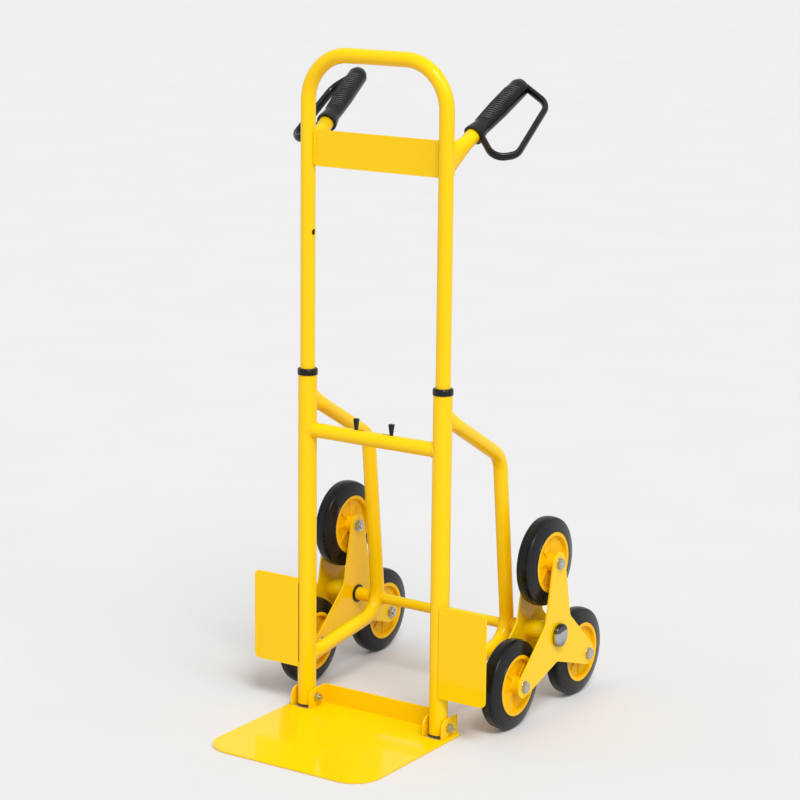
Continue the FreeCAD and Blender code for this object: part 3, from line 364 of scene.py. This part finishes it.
# Half of the tyre's outline: across from the middle as a part of its half width, and out from the rim as a
# part of its depth.  Bead ring, flat sidewall, bevelled shoulder, one groove, crowned tread.
TYRE_OUTLINE = [(1.0, 0.0), (1.0, 0.07), (0.985, 0.115), (0.95, 0.13), (0.935, 0.16), (0.93, 0.20),
                (0.92, 0.25), (0.87, 0.40), (0.81, 0.56), (0.745, 0.72), (0.685, 0.855), (0.668, 0.89),
                (0.64, 0.915), (0.60, 0.93), (0.46, 0.957), (0.395, 0.968), (0.385, 0.94), (0.345, 0.94),
                (0.335, 0.977), (0.20, 0.990), (0.04, 1.0)]
TYRE_STEPS = 128


def make_tyre(name, body):
    low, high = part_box(name)
    centre = (low + high) / 2
    radius = (high.z - low.z) / 2
    half = (high.x - low.x) / 2
    rim = HUB_RIM_R * MM
    half_profile = [(x * half, rim + r * (radius - rim)) for x, r in TYRE_OUTLINE]
    profile = half_profile + [(-x, r) for x, r in reversed(half_profile)]
    mesh = bmesh.new()
    turned(mesh, centre, profile, TYRE_STEPS)
    tyre = finish_piece(f"{name}_rubber", mesh, body, "tyre_rubber")
    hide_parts(name)


for side, sign in SIDES.items():
    for place in ARM_ANGLES:
        make_tyre(f"tyre_{side}_{place}", f"wheel_{side}_{place}")


# ---------------------------------------------------------------- weld beads

WELD_LIFT = 0.5 * MM
WELD_RIPPLE = 0.13
WELD_GAP = 0.8 * MM
AXLE = Vector((0, AXLE_Y, AXLE_Z)) * MM


def at(x, y, z):
    """A point given in millimetres."""
    return Vector((x, y, z)) * MM


def saddle(root, along, wide, tall, post_r, steps=96):
    """Where a tube leaves an upright post through its root; wide and tall are half sizes in millimetres."""
    wide, tall, post_r = wide * MM, tall * MM, post_r * MM + WELD_LIFT
    side = Vector((0, 0, 1)).cross(along).normalized()
    up = along.cross(side)
    bow = min(wide, tall)
    points = []
    for step in range(steps):
        angle = 2 * math.pi * step / steps
        across, rise = math.cos(angle) * bow, math.sin(angle) * bow
        across += math.copysign(wide - bow, across)
        rise += math.copysign(tall - bow, rise)
        offset = side * across + up * rise
        a = along.x ** 2 + along.y ** 2
        b = offset.x * along.x + offset.y * along.y
        c = offset.x ** 2 + offset.y ** 2 - post_r ** 2
        reach = (-b + math.sqrt(b * b - a * c)) / a
        points.append(root + offset + along * reach)
    return points


def ring_points(centre, radius, steps=120):
    """A circle about an axis along X."""
    return [centre + Vector((0, radius * math.cos(2 * math.pi * step / steps),
                             radius * math.sin(2 * math.pi * step / steps))) for step in range(steps)]


def weld_round(name, body, points, radius):
    mesh = bmesh.new()
    middle = sum(points, Vector()) / len(points)
    bead_along(mesh, points, radius * MM, middle, ripple=WELD_RIPPLE)
    finish_piece(name, mesh, body, "yellow_powder_coat")


def weld_straight(name, body, lines, away, radius):
    """Open beads along lines; away is a direction square to them."""
    mesh = bmesh.new()
    for start, end in lines:
        count = max(3, round((end - start).length / WELD_GAP))
        points = [start.lerp(end, step / count) for step in range(count + 1)]
        bead_along(mesh, points, radius * MM, start - away * 10, closed=False, ripple=WELD_RIPPLE)
    finish_piece(name, mesh, body, "yellow_powder_coat")


def stub_line(sign):
    """The direction of a handle stub, away from the loop."""
    rise, splay = math.radians(STUB_RISE), math.radians(STUB_SPLAY)
    return Vector((sign * math.sin(splay) * math.cos(rise), math.cos(splay) * math.cos(rise),
                   math.sin(rise)))


TUBE_BEAD = 1.7
RING_BEAD = 1.6
AXLE_WELDS = (("outer", 147.3, 12.6), ("inner", 122.2, 9.4))
STAR_WELDS = (("outer", 232.6, 19.3), ("inner", 181.4, 19.3))
BADGE_WELD_X, BADGE_WELD_Y, BADGE_WELD_Z, BADGE_BEAD = 119.9, 2.0, (939, 996), 3.0
PLATE_WELD_X, PLATE_WELD_Y, PLATE_BEAD = 143.0, -13.2, 1.5
PLATE_WELD_SPANS = ((75.5, 84.5), (221.5, 230.5))
SEAM_OUTLINE = ((141.5, -13.6), (142.5, -13.6), (142.5, -14.7), (141.5, -14.8))
SEAM_ENDS = (83, 223)


def make_seam_shadow(name, sign):
    """A painted shadow: a dark strip on the line between an upright and the part of its side plate that
    isn't welded.
    """
    seam = bmesh.new()
    rings = [[seam.verts.new(at(sign * x, y, z)) for x, y in SEAM_OUTLINE] for z in SEAM_ENDS]
    join_rings(seam, rings)
    finish_piece(name, seam, "frame", "yellow_powder_coat", SEAM_SHADOW)


for side, sign in SIDES.items():
    for joint, z, along in (("crossbar", CROSSBAR_Z, Vector((-sign, 0, 0))),
                            ("rear_top", REAR_TOP_Z, Vector((0, 1, REAR_TOP_SLOPE)).normalized()),
                            ("rear_low", REAR_LOW_Z, Vector((0, 1, REAR_LOW_SLOPE)).normalized())):
        line = saddle(at(sign * UPRIGHT_X, 0, z), along, TUBE_R, TUBE_R, UPRIGHT_R)
        weld_round(f"weld_{joint}_{side}", "frame", line, TUBE_BEAD)
    line = saddle(at(sign * UPRIGHT_X, 0, STUB_ROOT_Z), stub_line(sign), STUB_FLAT_THICK,
                  STUB_FLAT_TALL, TUBE_R)
    weld_round(f"weld_stub_{side}", "handle", line, TUBE_BEAD)
    for where, body, welds in (("axle", "frame", AXLE_WELDS), ("star", f"star_{side}", STAR_WELDS)):
        for place, x, radius in welds:
            line = ring_points(AXLE + at(sign * x, 0, 0), radius * MM)
            weld_round(f"weld_{where}_{place}_{side}", body, line, RING_BEAD)
    for place, facing in (("front", -1), ("rear", 1)):
        low, high = (at(sign * BADGE_WELD_X, facing * BADGE_WELD_Y, z) for z in BADGE_WELD_Z)
        weld_straight(f"weld_badge_{place}_{side}", "handle", [(low, high)], Vector((0, facing, 0)),
                      BADGE_BEAD)
    lines = [[at(sign * PLATE_WELD_X, PLATE_WELD_Y, z) for z in span] for span in PLATE_WELD_SPANS]
    weld_straight(f"weld_side_plate_{side}", "frame", lines, Vector((0, 1, 0)), PLATE_BEAD)
    # a dark strip painted where the side plate's joint lies in shade
    make_seam_shadow(f"side_plate_seam_shadow_{side}", sign)


# ---------------------------------------------------------------- washers under the wheel bolts

WASHER_OUTLINE = [(0, 5.3), (0, 10.6), (0.7, 10.6), (1.1, 10.2), (1.1, 5.3)]
WASHER_STEPS = 48
for side, sign in SIDES.items():
    mesh = bmesh.new()
    for degrees in ARM_ANGLES.values():
        angle = math.radians(degrees)
        arm = at(0, STAR_ARM * math.cos(angle), STAR_ARM * math.sin(angle))
        for face, outwards in ((STAR_OUTER_FACE, 1), (STAR_INNER_FACE, -1)):
            turned(mesh, AXLE + arm + at(sign * face, 0, 0),
                   [(x * MM, radius * MM) for x, radius in WASHER_OUTLINE], WASHER_STEPS, sign * outwards)
    finish_piece(f"washers_{side}", mesh, f"star_{side}", "zinc")


# ---------------------------------------------------------------- ribs on the grips

RIB_COUNT = 18
RIB_STEPS = 18
RIB_START = GRIP_START + 32
RIB_PITCH = 4.9
RIB_SLANT = 6 * MM
RIB_SPREAD = math.radians(58)
RIB_R = 1.3 * MM
RIB_SUNK = 0.15 * MM
OUTSIDE_GRIP = 30 * MM


def surface_of(node):
    """A tree of the node's faces, in world space."""
    corners = [node.matrix_world @ vertex.co for vertex in node.data.vertices]
    return BVHTree.FromPolygons(corners, [tuple(polygon.vertices) for polygon in node.data.polygons])


def rib_points(tree, middle, along, up):
    """Points on a grip's skin, across its upper side, sliding along the grip as they go round."""
    side = along.cross(up)
    points = []
    for step in range(RIB_STEPS + 1):
        part = 2 * step / RIB_STEPS - 1
        angle = part * RIB_SPREAD
        out = up * math.cos(angle) + side * math.sin(angle)
        start = middle + along * part * RIB_SLANT + out * OUTSIDE_GRIP
        points.append(tree.ray_cast(start, -out)[0] - out * RIB_SUNK)
    return points


for side, sign in SIDES.items():
    tree = surface_of(NODES[f"grip_{side}"])
    along = stub_line(sign)
    up = (Vector((0, 0, 1)) - along * along.z).normalized()
    mesh = bmesh.new()
    for index in range(RIB_COUNT):
        middle = at(sign * UPRIGHT_X, 0, STUB_ROOT_Z) + along * (RIB_START + index * RIB_PITCH) * MM
        bead_along(mesh, rib_points(tree, middle, along, up), RIB_R, middle, closed=False)
    finish_piece(f"grip_ribs_{side}", mesh, "handle", "black_grip", PAINTED_HIGHLIGHT_RIBS)


# ---------------------------------------------------------------- camera, light and floor

CAMERA_ANGLES = {"azimuth": 33.25, "elevation": 12.79, "roll": 0.61}
CAMERA_TARGET = Vector((0.05117, 0, 0.5659))
CAMERA_DISTANCE = 4.14441
LENS, SENSOR = 113.86, 36
FLOOR_HALF, FLOOR_Z = 200, -0.0005
FLOOR_TONES = (0.715, 0.725)
SKY_STRENGTH = 0.68


def bearing(azimuth, elevation):
    """The direction of an azimuth (0 is the front, pi/2 the right side) and an elevation, in radians."""
    return Vector((math.sin(azimuth) * math.cos(elevation), -math.cos(azimuth) * math.cos(elevation),
                   math.sin(elevation)))


def make_camera():
    azimuth, elevation, roll = (math.radians(angle) for angle in CAMERA_ANGLES.values())
    back = bearing(azimuth, elevation)
    level = Vector((math.cos(azimuth), math.sin(azimuth), 0))
    upright = back.cross(level)
    right = level * math.cos(roll) + upright * math.sin(roll)
    up = upright * math.cos(roll) - level * math.sin(roll)
    data = bpy.data.cameras.new("camera")
    data.sensor_width = SENSOR
    data.lens = LENS
    camera = bpy.data.objects.new("camera", data)
    scene.collection.objects.link(camera)
    place = Matrix((right, up, back)).transposed().to_4x4()
    place.translation = CAMERA_TARGET + back * CAMERA_DISTANCE
    camera.matrix_world = place
    scene.camera = camera


def sun_light(name, azimuth, elevation, spread, strength):
    """Soft distant light from an azimuth and an elevation, in degrees."""
    data = bpy.data.lights.new(name, "SUN")
    data.angle = math.radians(spread)
    data.energy = strength
    light = bpy.data.objects.new(name, data)
    light.rotation_mode = "QUATERNION"
    towards = bearing(math.radians(azimuth), math.radians(elevation))
    light.rotation_quaternion = towards.to_track_quat("Z", "Y")
    scene.collection.objects.link(light)


def make_floor():
    mesh = bmesh.new()
    bmesh.ops.create_grid(mesh, x_segments=1, y_segments=1, size=FLOOR_HALF)
    data = bpy.data.meshes.new("floor")
    mesh.to_mesh(data)
    mesh.free()
    floor = bpy.data.objects.new("floor", data)
    floor.location.z = FLOOR_Z
    scene.collection.objects.link(floor)
    paper = Recipe("floor_paper", Roughness=0.9)
    paper.colours(paper.noise(3, 2), [(0.3, (FLOOR_TONES[0],) * 3), (0.7, (FLOOR_TONES[1],) * 3)])
    data.materials.append(paper.material)


def make_sky():
    world = bpy.data.worlds.new("studio")
    world.use_nodes = True
    background = world.node_tree.nodes["Background"]
    background.inputs["Color"].default_value = (1, 1, 1, 1)
    background.inputs["Strength"].default_value = SKY_STRENGTH
    scene.world = world


make_camera()
make_floor()
make_sky()
scene.view_settings.view_transform = "Standard"
sun_light("key", 45, 52, 20, 1.75)
sun_light("side", 80, 35, 30, 0.5)
